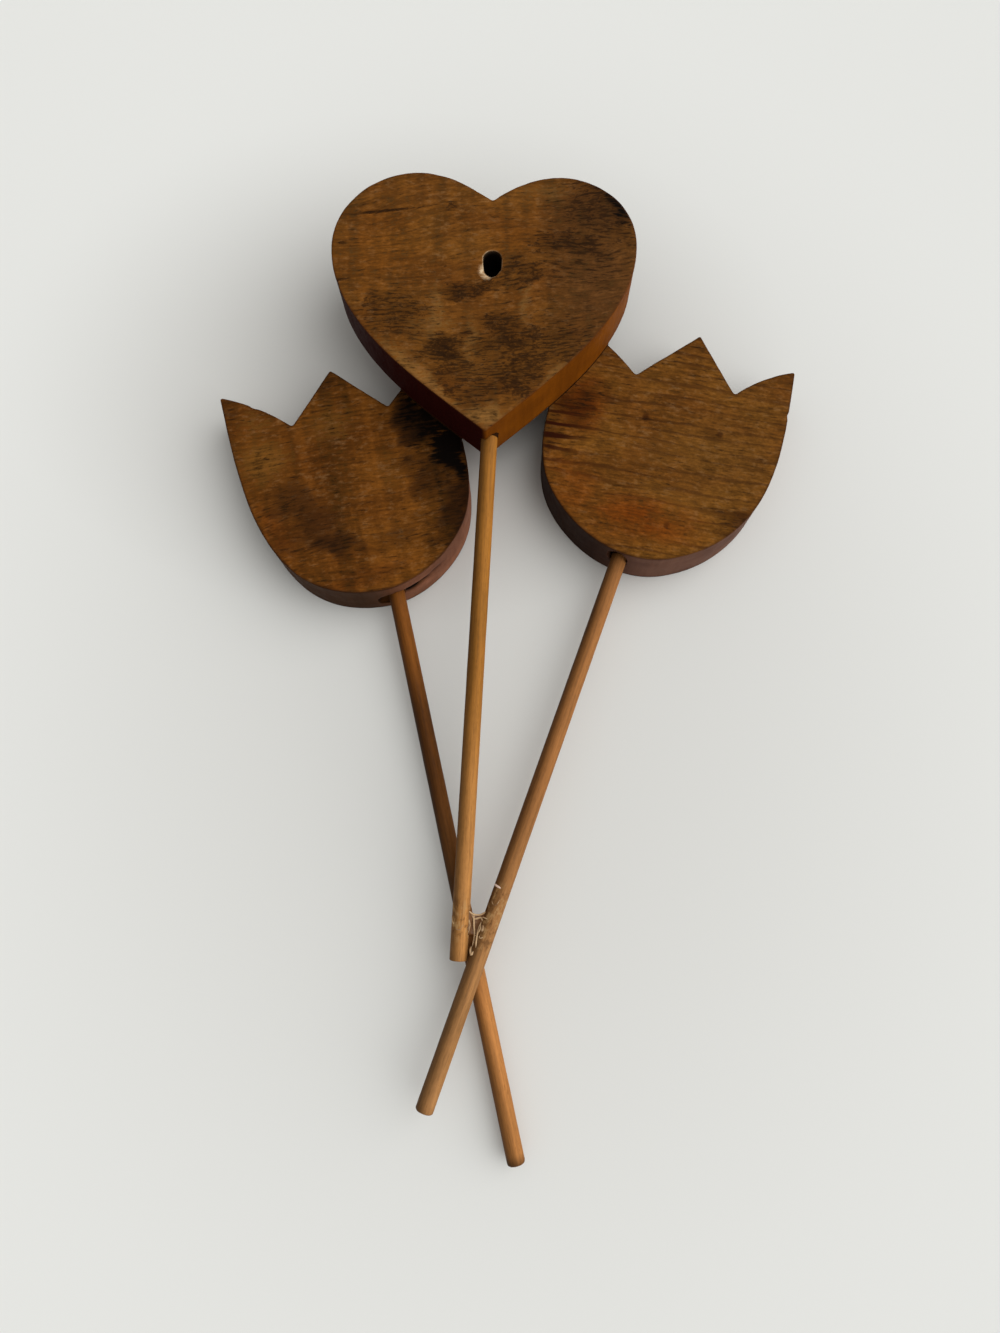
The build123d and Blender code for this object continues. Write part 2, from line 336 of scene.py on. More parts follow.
def board_walls(shell, node, outline, dents):
    """Rings of a board's worn edges and sawn wall, from its face down to its back."""
    low, high = (corner.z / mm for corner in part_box(node))
    into = inward(outline)
    own = own_frame(node, outline)
    top_round = edge_round * (1 + 0.45 * ripple(outline, 5, 5) + 0.2 * ripple(outline, 1.7, 6))
    low_round = edge_round * (1 + 0.4 * ripple(outline, 6, 7))

    def dented(height):
        """How far the wall is dented inwards all round at one height, and how much painted shade it gets
        there.
        """
        depth = np.zeros(len(outline))
        shade_share = np.zeros(len(outline))
        for place, reach, deep, middle, tall, painted_shade in dents:
            away = np.linalg.norm(own - place, axis=1) / reach
            share = np.exp(-(away**2) - ((height - middle) / tall) ** 2)
            depth += deep * share
            shade_share = np.maximum(shade_share, painted_shade * share)
        return depth, shade_share

    rings = []
    turns = np.linspace(0, pi / 2, edge_turns)
    for turn in turns:
        offset = top_round * (1 - sin(turn)) + dented(high)[0]
        rings.append(shell.ring(outline + into * offset[:, None], high - top_round * (1 - cos(turn))))
    for level in np.arange(high - 2 * edge_round - wall_step, low + 2 * edge_round, -wall_step):
        depth, shade_share = dented(level)
        depth += 0.05 * (1 + ripple(outline, 0.9, 8))
        rings.append(shell.ring(outline + into * depth[:, None], level, shade_share))
    for turn in turns[::-1]:
        offset = low_round * (1 - sin(turn)) + dented(low)[0]
        rings.append(shell.ring(outline + into * offset[:, None], low + low_round * (1 - cos(turn))))
    for upper, lower in zip(rings, rings[1:]):
        shell.join(upper, lower)
    return rings[0], rings[-1]


def chip_rim(points, own, high):
    """Scoop the chip beside the hanging hole out of the heart's face. Returns how raw each point is."""
    plan = points[:, :2]
    near_top = points[:, 2] > high - 1.5
    scoop = np.linalg.norm(own - chip_place, axis=1) / chip_radius
    deep = np.clip(1 - scoop**2, 0, 1) * (1 + 0.4 * ripple(plan, 1.5, 11))
    points[:, 2] -= chip_depth * deep * near_top
    beside = reach_to(own, hole_loop(wear_drop, hole_radius, 120))
    ragged = 0.8 + 0.6 * ripple(plan, 1.6, 12)
    left_share = np.clip(0.7 - 0.15 * (own[:, 0] - hole_place[0]), 0.3, 1)
    rim = np.clip(1.4 - beside / 0.4, 0, 1) * ragged * left_share
    crescent = np.clip(2.2 * deep - 0.5 * np.clip(own[:, 0] - chip_place[0], 0, 2), 0, 1) * ragged
    return np.clip(np.maximum(rim, crescent), 0, 1) * near_top


def make_board(node, dents):
    """Board with wavering edges, rounded by wear, that stands for a CAD board."""
    low, high = (corner.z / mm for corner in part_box(node))
    outline = resample(board_outline(node), outline_step)
    sway = 0.09 * (1 + ripple(outline, 11, 1)) + 0.03 * (1 + ripple(outline, 2.2, 2))
    outline = outline + inward(outline) * sway[:, None]
    shell = Shell()
    top_edge, low_edge = board_walls(shell, node, outline, dents)
    top_rims = [top_edge]
    low_rims = [low_edge]
    extra = np.empty((0, 2))
    if node == "heart":
        top_rim, low_rim, extra = bore_heart(shell, high, low)
        top_rims.append(top_rim)
        low_rims.append(low_rim)
    for rims, height, up, more in ((top_rims, high, True, extra), (low_rims, low, False, extra[:0])):
        spots = loose_points([shell.plan(rim) for rim in rims], 0.75 * face_step)
        if len(more):
            spots = spots[reach_to(spots, more) > 0.6 * face_step]
            spots = np.vstack([spots, more])
        shell.fill(rims, spots, height, up)

    points = np.array(shell.points)
    own = own_frame(node, points)
    worn = 0.08 * (1 + ripple(points[:, :2], 16, 9)) + 0.03 * (1 + ripple(points[:, :2], 4, 10))
    points[:, 2] -= worn * np.clip((points[:, 2] - low) / (high - low) * 2 - 1, 0, 1)
    edge = reach_to(points[:, :2], outline)
    on_wall = (points[:, 2] < high - 1.2) & (points[:, 2] > low + 1.2)
    edge[on_wall] = np.minimum(high - points[on_wall, 2], points[on_wall, 2] - low)
    raw = chip_rim(points, own, high) if node == "heart" else np.zeros(len(points))
    grain = np.column_stack([own, points[:, 2] - low])
    marks = {"edge": edge, "raw": raw, "painted_shade": shell.painted_shade}
    return make_object(node + "_board", points, shell.faces, grain, marks)


def drill_socket(board, stem, chip_turn, chip_reach):
    """Cut a stem's socket into a board, with its mouth torn out towards one side of the stem."""
    seat, end = stem_line(stem)

    def broken(along, turn):
        """How much wider the socket is near its mouth."""
        towards = max(0, cos(turn - radians(chip_turn))) ** 2
        ragged = 1 + 0.4 * perlin.noise((along / 2, 2 * turn, 3.1))
        return chip_reach * towards * ragged * np.clip((along - mouth_start) / mouth_blend, 0, 1)

    profile = [(-3.0, 0.05), (-0.5, socket_radius)]
    profile += [(along, socket_radius) for along in (mouth_start, 12, 13.3, 14.6, 16, 17.5, 19, 24, 40)]
    # The cutter carries full painted shade onto the socket walls it leaves
    cutter = lathe("socket_cutter", seat, end, profile, broken, painted_shade=1.0)
    cut = board.modifiers.new("socket", "BOOLEAN")
    cut.operation = "DIFFERENCE"
    cut.solver = "EXACT"
    cut.object = cutter
    bpy.context.view_layer.update()
    whole = bpy.data.meshes.new_from_object(board.evaluated_get(bpy.context.evaluated_depsgraph_get()))
    board.modifiers.remove(cut)
    board.data = whole
    bpy.data.objects.remove(cutter)


# Stems


def stem_line(node):
    """Ends of a CAD stem's axis in mm: the one in its socket, then the free one."""
    corners = [tuple(np.round(np.array(v.co) / mm, 3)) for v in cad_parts[node].data.vertices]
    points = np.array(sorted(set(corners)))
    middle = points.mean(0)
    axis = np.linalg.svd(points - middle)[2][0]
    axis = axis if axis[1] < 0 else -axis
    along = (points - middle) @ axis
    return middle + axis * along.min(), middle + axis * along.max()


def stem_length(node):
    """Length of a CAD stem in mm."""
    seat, end = stem_line(node)
    return float(np.linalg.norm(end - seat))


def lathe(name, start, end, profile, swell, seed=0, painted_shade=0.0):
    """Closed mesh about the line from start to end, from (distance along it, radius) pairs.

    The swell is what the radius gains at a distance and a turn, counted from the left over the top.
    """
    axis = (end - start) / np.linalg.norm(end - start)
    side = np.cross(axis, (0, 0, 1))
    side /= np.linalg.norm(side)
    up = np.cross(side, axis)
    shell = Shell()
    rows = []
    grain = []
    for along, radius in profile:
        ring = []
        for turn in np.linspace(0, 2 * pi, stem_sides, endpoint=False):
            wide = radius + swell(along, turn)
            ring.append(start + axis * along + wide * (cos(turn) * side + sin(turn) * up))
            grain.append((along, cos(turn) * wide + stem_gap * seed, sin(turn) * wide))
        rows.append(shell.add(ring, painted_shade))
    for near, far in zip(rows, rows[1:]):
        shell.join(near, far)
    shell.faces.append(tuple(rows[0]))
    shell.faces.append(tuple(rows[-1][::-1]))
    return make_object(name, shell.points, shell.faces, grain, {"painted_shade": shell.painted_shade})


def make_stem(node, seed, end_round):
    """Dowel that stands for a CAD stem, a little out of true, with its free end rounded over."""
    seat, end = stem_line(node)
    length = stem_length(node)

    def uneven(along, turn):
        """Small hollows along the dowel."""
        return -0.04 * (1 + perlin.noise((along / 9, turn * 1.3 + 11 * seed, seed)))

    profile = [(0, 0.3), (0, dowel_radius - 0.6), (0.6, dowel_radius)]
    profile += [(along, dowel_radius) for along in np.arange(stem_step, length - 2 * end_round, stem_step)]
    for turn in np.linspace(0, pi / 2, edge_turns):
        profile.append((length - end_round * (1 - sin(turn)), dowel_radius - end_round * (1 - cos(turn))))
    profile += [(length, 0.5 * dowel_radius), (length, 0.3)]
    return lathe(node + "_dowel", seat, end, profile, uneven, seed)


# Dried glue at the crossing


def on_stem(stem, y, turn, lift):
    """Point on a stem's skin at a height up the bouquet, turned in degrees from its right over its top."""
    seat, end = stem_line(stem)
    centre = seat + (end - seat) * (y - seat[1]) / (end[1] - seat[1])
    return centre + (dowel_radius + lift) * np.array([cos(radians(turn)), 0, sin(radians(turn))])


def in_crotch(y, share, lift):
    """Point of the glue film from the heart's stem, share 0, to the right stem, share 1."""
    left = on_stem("heart_stem", y, film_turn, -film_bite)
    right = on_stem("right_stem", y, 180 - film_turn, -film_bite)
    sag = film_sag * np.linalg.norm(right - left) * 4 * share * (1 - share)
    return left + (right - left) * share + np.array([0, 0, lift - sag])


def smooth_path(points, steps=5):
    """Points along a smooth curve through the given ones."""
    points = np.asarray(points, float)
    stops = np.arange(len(points))
    fine = np.linspace(0, len(points) - 1, steps * (len(points) - 1) + 1)
    slopes = np.gradient(points, axis=0)
    first = np.minimum(fine.astype(int), len(points) - 2)
    t = (fine - stops[first])[:, None]
    near, far = points[first], points[first + 1]
    blend = t * t * (3 - 2 * t)
    leaving = t * (1 - t) ** 2 * slopes[first]
    arriving = t * t * (1 - t) * slopes[first + 1]
    return near + (far - near) * blend + leaving - arriving


def add_film(shell):
    """Add the film of glue between the heart's stem and the right one to a shell."""
    rows = np.linspace(0, 1, 15)
    shares = np.linspace(0, 1, 9)
    sheets = []
    for side in (0.5, -0.5):
        sheet = []
        for row in rows:
            heights = film_top - film_dip * 4 * shares * (1 - shares) * (1 - row) ** 2
            heights = heights + row * (film_low - film_top)
            lumps = 0.25 * ripple(np.column_stack([4 * shares, heights]), 1.6, 21)
            thick = side * film_thick * (1 + 1.2 * (2 * shares - 1) ** 4)
            sheet.append(shell.add([in_crotch(*spot) for spot in zip(heights, shares, thick + lumps)]))
        sheets.append(sheet)
    upper, lower = sheets
    for row in range(len(rows) - 1):
        for here in range(len(shares) - 1):
            near, far = upper[row], upper[row + 1]
            shell.faces.append((near[here], far[here], far[here + 1], near[here + 1]))
            near, far = lower[row], lower[row + 1]
            shell.faces.append((near[here], near[here + 1], far[here + 1], far[here]))
    edge_above = upper[0] + [row[-1] for row in upper[1:]]
    edge_above += upper[-1][-2::-1] + [row[0] for row in upper[-2:0:-1]]
    edge_below = lower[0] + [row[-1] for row in lower[1:]]
    edge_below += lower[-1][-2::-1] + [row[0] for row in lower[-2:0:-1]]
    shell.join(edge_below, edge_above)


def laid(lift, *spots):
    """Points of a thread on the film: places up the bouquet and shares across it, all at one lift."""
    return [in_crotch(y, share, lift) for y, share in spots]


def drawn(stem, *spots):
    """Points of a thread over a stem: places up the bouquet, turns and lifts."""
    return [on_stem(stem, *spot) for spot in spots]


def make_crossing_glue():
    """Film of glue between two stems, with threads drawn out of it and across the stems."""
    shell = Shell()
    add_film(shell)
    heart = "heart_stem"
    right = "right_stem"
    off_film = laid(0.5, (-93.8, 0.3)) + laid(0.8, (-97.4, 0.42))
    hooked = drawn(right, (-106.6, 142, 0.3), (-105.6, 136, 0.2))
    curled = drawn(right, (-91.2, 95, -0.04), (-89.5, 80, -0.04))
    threads = [
        (laid(0.35, (-93.0, 0.0), (-94.2, 0.3), (-94.3, 0.7), (-93.2, 1.0)), 0.3, 1.0),
        (laid(0.5, (-94.4, 0.2), (-95.6, 0.4), (-95.2, 0.75), (-96.4, 0.95)), 0.34, 0.7),
        (laid(0.45, (-95.6, 0.05), (-97.6, 0.15), (-99.8, 0.1)), 0.3, 0.4),
        (off_film + drawn(right, (-101, 176, 0.7), (-104.2, 168, 0.3)), 0.32, 1.0),
        (drawn(right, (-96.4, 166, 0.2), (-99, 155, 0.5), (-102, 140, 0.4), (-104.4, 128, 0.15)), 0.26, 0.9),
        (drawn(right, (-104.2, 174, 0.5), (-105.3, 160, 0.6)) + hooked, 0.36, 1.1),
        (drawn(right, (-95.3, 174, 0.2), (-95.1, 150, 0.4), (-95.6, 116, 0.1)), 0.18, 1.0),
        (drawn(right, (-97.0, 166, 0.2), (-98.6, 141, 0.4), (-99.8, 150, 0.4), (-98.4, 167, 0.2)), 0.22, 0.8),
        (drawn(right, (-97.4, 138, -0.2), (-98.4, 131, -0.15), (-99.6, 126, -0.2)), 0.5, 0.5),
        (drawn(right, (-100.6, 140, -0.1), (-101.5, 122, 0.0), (-101.2, 104, -0.1)), 0.2, 0.6),
        (drawn(right, (-84.6, 174, 0.0), (-85.1, 140, 0.05), (-85.9, 102, 0.0)), 0.38, 2.0),
        (drawn(right, (-88, 150, -0.04), (-90.5, 125, -0.04)) + curled, 0.13, 0.5),
        (drawn(heart, (-94.6, 168, 0.0), (-96.2, 150, 0.0), (-97.2, 135, -0.05)), 0.16, 0.8),
        (drawn(heart, (-98.6, 118, -0.04), (-98.8, 92, -0.04), (-97, 62, -0.04)), 0.1, 0.4),
    ]
    pale = [0.0] * len(shell.points)
    for points, radius, share in threads:
        shell.tube(smooth_path(points), radius)
        pale += [share] * (len(shell.points) - len(pale))
    return make_object("crossing_glue_web", shell.points, shell.faces, shell.points, {"pale": pale})


# Materials


def paint(red, green, blue):
    """Linear colour with full alpha from sRGB values of 0 to 255."""
    shares = [value / 255 for value in (red, green, blue)]
    linear = [share / 12.92 if share <= 0.04045 else ((share + 0.055) / 1.055) ** 2.4 for share in shares]
    return (*linear, 1.0)


class Tree:
    """Node tree of a material, with short calls that add a node and give its output."""

    def __init__(self, name, gloss):
        self.material = bpy.data.materials.new(name)
        self.material.use_nodes = True
        self.nodes = self.material.node_tree.nodes
        self.links = self.material.node_tree.links
        self.shader = self.nodes["Principled BSDF"]
        self.shader.inputs["Specular IOR Level"].default_value = gloss

    def put(self, socket, value):
        """Link an output to a socket, or set the socket's own value."""
        if isinstance(value, bpy.types.NodeSocket):
            self.links.new(value, socket)
        else:
            socket.default_value = value

    def attribute(self, name, output):
        """Value of a point attribute."""
        node = self.nodes.new("ShaderNodeAttribute")
        node.attribute_name = name
        return node.outputs[output]

    def math(self, operation, *values):
        """Arithmetic on one to three numbers."""
        node = self.nodes.new("ShaderNodeMath")
        node.operation = operation
        for socket, value in zip(node.inputs, values):
            self.put(socket, value)
        return node.outputs[0]

    def weigh(self, base, *parts):
        """A base number plus noises, each counted from its middle and times its weight."""
        total = base
        for value, weight in parts:
            total = self.math("ADD", total, self.math("MULTIPLY", self.math("SUBTRACT", value, 0.5), weight))
        return total

    def vector(self, operation, first, second=None):
        """Arithmetic on vectors."""
        node = self.nodes.new("ShaderNodeVectorMath")
        node.operation = operation
        self.put(node.inputs[0], first)
        if second is not None:
            self.put(node.inputs[1], second)
        return node.outputs["Value" if operation == "LENGTH" else "Vector"]

    def shade(self, colour, tone):
        """A colour made lighter or darker by a factor."""
        node = self.nodes.new("ShaderNodeVectorMath")
        node.operation = "SCALE"
        self.put(node.inputs[0], colour[:3] if isinstance(colour, tuple) else colour)
        self.put(node.inputs["Scale"], tone)
        return node.outputs[0]

    def parts(self, place):
        """The three numbers of a place."""
        node = self.nodes.new("ShaderNodeSeparateXYZ")
        self.put(node.inputs[0], place)
        return node.outputs

    def ramp(self, value, low, high, to_low=0.0, to_high=1.0):
        """Smooth step of a number, from to_low at low to to_high at high."""
        node = self.nodes.new("ShaderNodeMapRange")
        node.interpolation_type = "SMOOTHSTEP"
        for socket, number in zip(node.inputs, (value, low, high, to_low, to_high)):
            self.put(socket, number)
        return node.outputs[0]

    def between(self, value, start, stop, outer, inner):
        """1 from start to stop and 0 beyond, with slopes from outer outside to inner inside each end."""
        rise = self.ramp(value, start - outer, start + inner)
        return self.math("MULTIPLY", rise, self.ramp(value, stop + outer, stop - inner))

    def noise(self, place, stretch, detail=2.0, roughness=0.5, output=0):
        """Noise of about 0 to 1, with each axis of a place multiplied by stretch first."""
        node = self.nodes.new("ShaderNodeTexNoise")
        self.put(node.inputs["Vector"], self.vector("MULTIPLY", place, stretch))
        node.inputs["Scale"].default_value = 1.0
        node.inputs["Detail"].default_value = detail
        node.inputs["Roughness"].default_value = roughness
        return node.outputs[output]

    def warp(self, place, stretch, reach):
        """A place pushed about by noise, up to about a quarter of reach each way."""
        push = self.vector("SUBTRACT", self.noise(place, stretch, output="Color"), (0.5, 0.5, 0.5))
        return self.vector("ADD", place, self.vector("MULTIPLY", push, (reach, reach, 0.0)))

    def mix(self, share, first, second):
        """Blend of two colours."""
        node = self.nodes.new("ShaderNodeMix")
        node.data_type = "RGBA"
        self.put(node.inputs[0], share)
        self.put(node.inputs[6], first)
        self.put(node.inputs[7], second)
        return node.outputs[2]

    def spot(self, place, centre, reach, turn):
        """1 at a centre in plan, falling to 0 at its reach along and across, turned anticlockwise."""
        node = self.nodes.new("ShaderNodeMapping")
        node.vector_type = "TEXTURE"
        self.put(node.inputs["Vector"], place)
        node.inputs["Location"].default_value = (*centre, 0)
        node.inputs["Rotation"].default_value = (0, 0, radians(turn))
        node.inputs["Scale"].default_value = (*reach, 1000)
        return self.ramp(self.vector("LENGTH", node.outputs[0]), 1.0, 0.15)

    def spots(self, place, marks):
        """Strongest of several spots at each place: (centre, reach, turn, strength) each."""
        total = 0.0
        for centre, reach, turn, strength in marks:
            mark = self.math("MULTIPLY", self.spot(place, centre, reach, turn), strength)
            total = self.math("MAXIMUM", mark, total)
        return total

    def finish(self, colour, rough, height, depth, strength):
        """Give the shader its colour, roughness and bump, where a height of 1 stands depth mm proud."""
        self.put(self.shader.inputs["Base Color"], colour)
        self.put(self.shader.inputs["Roughness"], rough)
        node = self.nodes.new("ShaderNodeBump")
        node.inputs["Strength"].default_value = strength
        node.inputs["Distance"].default_value = depth * mm
        self.put(node.inputs["Height"], height)
        self.links.new(node.outputs[0], self.shader.inputs["Normal"])


class BoardWood(Tree):
    """Thin stain on a rough-sawn board, with dirt ground in, places rubbed pale or left orange, and painted
    shade and shadow.
    """

    def __init__(self, name, look):
        super().__init__(name, gloss=0.03)
        self.look = look
        self.read_grain()
        self.stain()
        self.patch()
        self.soil()
        self.blacken_and_paint_shadow()
        self.saw_walls()
        self.wear_edges()
        height = self.weigh(0.5, (self.dash, 0.7), (self.fibre, 0.8), (self.saw, 0.5))
        self.finish(self.colour, self.ramp(self.mottle, 0.3, 0.7, 0.7, 0.55), height, 0.1, 0.6)

    def lay(self, share, colour):
        """Lay a colour over what is there, as thickly as share says."""
        self.colour = self.mix(share, self.colour, colour)

    def read_grain(self):
        """Places on the board and along its swaying fibres, and the noises for the rest."""
        self.place = self.attribute("grain", "Vector")
        self.u, self.v, w = self.parts(self.place)
        sway = self.noise(self.place, (0.018, 0.03, 0.03), 1.0)
        level = self.math("ADD", self.v, self.math("MULTIPLY", self.u, self.look["slope"]))
        self.across = self.math("ADD", level, self.math("MULTIPLY", sway, self.look["sway"]))
        joined = self.nodes.new("ShaderNodeCombineXYZ")
        for socket, value in zip(joined.inputs, (self.u, self.across, w)):
            self.put(socket, value)
        self.fibres = joined.outputs[0]
        self.broad = self.noise(self.place, (0.03, 0.05, 0.05), 3.0)
        self.mottle = self.noise(self.place, (0.1, 0.16, 0.15), 3.0, 0.65)
        self.blotch = self.noise(self.place, (0.32, 0.55, 0.5), 3.0, 0.65)
        self.speck = self.noise(self.place, (0.8, 1.3, 1.3), 2.0, 0.6)
        self.fibre = self.noise(self.fibres, (0.05, 0.9, 0.8), 3.0, 0.6)
        self.dash = self.noise(self.fibres, (0.22, 1.1, 1.1), 3.0, 0.65)
        self.saw = self.noise(self.place, (0.17, 0.012, 0.02), 2.0, 0.6)

    def stain(self):
        """Thin stain, with fibres and broken growth rings in it."""
        look = self.look
        self.colour = self.mix(self.ramp(self.broad, 0.35, 0.65), look["deep"], look["light"])
        fine = ((self.fibre, 0.9), (self.dash, 1.4), (self.speck, 1.0))
        coarse = ((self.blotch, 1.2), (self.mottle, 0.9), (self.saw, look["saw_share"]))
        self.tone = self.weigh(1.0, *fine, *coarse)
        self.colour = self.shade(self.colour, self.tone)
        wander = self.noise(self.fibres, (0.015, 0.1, 0.1), 2.0)
        turns = self.math("MULTIPLY", self.across, 2 * pi / look["ring_gap"])
        self.wave = self.math("SINE", self.weigh(turns, (wander, 16.0), (self.dash, 2.0)))
        broken = self.ramp(self.noise(self.fibres, (0.035, 0.3, 0.2), 2.0), 0.36, 0.6)
        rings = self.math("MULTIPLY", self.ramp(self.wave, 0.35, 1.0), broken)
        self.lay(self.math("MULTIPLY", rings, look["ring_share"]), look["ring_colour"])
        self.lay(self.ramp(self.blotch, 0.5, 0.8, 0.0, 0.4), paint(134, 102, 66))

    def patch(self):
        """Places left orange, gone grey, or rubbed pale with a ragged outline."""
        look = self.look
        mottled = self.ramp(self.mottle, 0.25, 0.6, 0.4, 1.0)
        warm = self.math("MULTIPLY", self.spots(self.place, look["warm"]), mottled)
        self.lay(warm, self.shade(look["warm_colour"], self.tone))
        self.lay(self.spots(self.place, look["grey"]), self.shade(look["grey_colour"], self.tone))
        even = ((self.mottle, 0.8), (self.blotch, 1.8), (self.dash, 1.5), (self.speck, 1.8))
        self.ragged = self.weigh(0.0, *even, (self.saw, look["saw_share"]))
        nudged = self.warp(self.place, (0.08, 0.1, 0.1), 7.0)
        rubbed = self.math("SUBTRACT", self.spots(nudged, look["rubbed"]), self.ragged)
        self.lay(self.ramp(rubbed, 0.15, 1.0, 0.0, 0.65), self.shade(look["pale"], self.tone))

    def soil(self):
        """Dirt: a soft tint, a crust of specks, streaks along the rings and flecks along the fibres."""
        look = self.look
        self.blurred = self.warp(self.place, (0.08, 0.1, 0.1), 24.0)
        knots = self.spots(self.place, look["knots"])
        soiled = self.math("MAXIMUM", self.spots(self.blurred, look["dirt"]), knots)
        tint = self.ramp(soiled, 0.05, 0.95, 0.0, look["soil_tint"])
        self.lay(tint, self.shade(look["dirt_colour"], self.tone))
        specks = self.math("MULTIPLY_ADD", self.ragged, self.ramp(soiled, 0.0, 0.45), soiled)
        crust = self.ramp(specks, 0.5, 1.05, 0.0, look["soil_crust"])
        self.lay(crust, self.shade(look["dirt_colour"], 0.6))
        streaked = self.spots(self.place, look["streaked"])
        self.lay(self.math("MULTIPLY", streaked, self.ramp(self.wave, 0.1, 0.8)), paint(46, 15, 3))
        flecks = self.math("MULTIPLY_ADD", soiled, look["fleck_share"], self.dash)
        self.lay(self.ramp(flecks, 0.42, 0.24, 0.0, 0.75), paint(32, 17, 6))

    def blacken_and_paint_shadow(self):
        """Places gone black, and the heart's painted shadow on the left tulip, torn into streaks along the
        fibres.
        """
        torn = self.weigh(0.0, (self.dash, 2.6), (self.fibre, 2.0), (self.blotch, 1.2))
        solid = self.spots(self.blurred, self.look["black_and_painted_shadow"])
        black_and_painted_shadow = self.math("MULTIPLY_ADD", torn, self.ramp(solid, 0.0, 0.4), solid)
        self.lay(self.ramp(black_and_painted_shadow, 0.25, 1.1), paint(7, 3, 1))

    def saw_walls(self):
        """Sawn walls with upright strokes, with painted shade on the left and another colour on the far side.
        """
        look = self.look
        normal = self.nodes.new("ShaderNodeNewGeometry").outputs["Normal"]
        upright = self.ramp(self.math("ABSOLUTE", self.parts(normal)[2]), 0.8, 0.35)
        strokes = self.noise(self.place, (0.5, 0.5, 0.05), 3.0, 0.6)
        cloud = self.noise(self.place, (0.05, 0.05, 0.1), 2.0)
        side = self.mix(self.ramp(cloud, 0.35, 0.65), look["wall_dark"], look["wall"])
        # Painted shade: the walls on the left are darker, away from the key light
        side = self.mix(self.ramp(self.u, *look["shade_turn"]), look["painted_left_wall"], side)
        side = self.mix(self.ramp(self.v, *look["far_turn"]), side, look["wall_far"])
        self.lay(upright, self.shade(side, self.weigh(1.0, (strokes, 0.5), (self.speck, 0.3))))

    def wear_edges(self):
        """Darker rims, raw wood where the face is chipped, and painted shade in the holes, sockets and dents.
        """
        mottled = self.ramp(self.mottle, 0.3, 0.6, 0.4, 1.0)
        rim = self.math("MULTIPLY", self.ramp(self.attribute("edge", "Fac"), 1.1, 0.1), mottled)
        self.lay(self.math("MULTIPLY", rim, self.look["rim_share"]), self.look["rim"])
        bare = self.mix(self.ramp(self.speck, 0.35, 0.65), paint(168, 134, 96), paint(208, 184, 150))
        self.lay(self.attribute("raw", "Fac"), bare)
        # Painted shade: near-black in the hanging hole, the sockets and the dents in the walls
        self.lay(self.attribute("painted_shade", "Fac"), paint(12, 6, 4))


def dowel_material(name, look, middle, length):
    """Stained dowel with fine fibres, open pores and smears of glue, with painted shade and light on its
    sides.

    The middle is where its axis lies across its grain, and its free end is at its length along it.
    """
    tree = Tree(name, gloss=0.08)
    place = tree.attribute("grain", "Vector")
    along, aside, _ = tree.parts(place)
    broad = tree.noise(place, (0.03, 0.2, 0.2), 2.0)
    fibre = tree.noise(place, (0.05, 1.4, 1.4), 3.0, 0.6)
    dash = tree.noise(place, (0.35, 1.8, 1.8), 3.0, 0.6)
    colour = tree.mix(tree.ramp(along, *look["fade"]), look["upper"], look["lower"])
    colour = tree.shade(colour, tree.weigh(1.0, (fibre, 1.0), (dash, 0.8), (broad, 0.9)))
    # Painted shade and light: each dowel darker on its left side and lighter on its right, as the key light
    # falls
    side_shade = tree.math("SUBTRACT", aside, middle)
    colour = tree.shade(colour, tree.ramp(side_shade, -0.5 * dowel_radius, dowel_radius, 1.3, 0.4))
    colour = tree.mix(tree.ramp(dash, 0.58, 0.74, 0.0, 0.5), colour, look["pore"])
    if "darkened" in look:
        dulled = tree.between(along, *look["darkened"], 15, 15)
        colour = tree.shade(colour, tree.math("MULTIPLY_ADD", dulled, -look["darkening"], 1.0))
    colour = tree.shade(colour, tree.ramp(along, length - 4, length, 1.0, look["end_tone"]))
    if "smeared" in look:
        patch = tree.noise(place, (0.3, 0.45, 0.45), 3.0, 0.65)
        near = tree.between(along, *look["smeared"], 4, 2)
        smear = tree.math("MULTIPLY", near, tree.ramp(patch, 0.5, 0.62))
        colour = tree.mix(tree.math("MULTIPLY", smear, 0.5), colour, paint(176, 140, 92))
        stain = tree.math("MULTIPLY", near, tree.ramp(patch, 0.46, 0.34))
        colour = tree.mix(tree.math("MULTIPLY", stain, 0.6), colour, paint(72, 44, 18))
    height = tree.weigh(0.5, (fibre, 0.7), (dash, 0.6))
    tree.finish(colour, tree.ramp(fibre, 0.3, 0.7, 0.48, 0.62), height, 0.06, 0.6)
    return tree.material


def glue_material(name, thin, thick, gloss):
    """Dried craft glue: cloudy, paler where it is drawn into threads."""
    tree = Tree(name, gloss)
    place = tree.nodes.new("ShaderNodeTexCoord").outputs["Object"]
    cloud = tree.noise(place, (700, 700, 700), 3.0)
    pale = tree.math("ADD", tree.attribute("pale", "Fac"), tree.weigh(0.0, (cloud, 1.6)))
    colour = tree.mix(tree.ramp(pale, 0.0, 1.0), thin, thick)
    colour = tree.mix(tree.ramp(pale, 1.2, 1.9), colour, paint(220, 194, 176))
    tree.finish(colour, tree.ramp(cloud, 0.3, 0.7, 0.35, 0.55), cloud, 0.15, 0.5)
    return tree.material
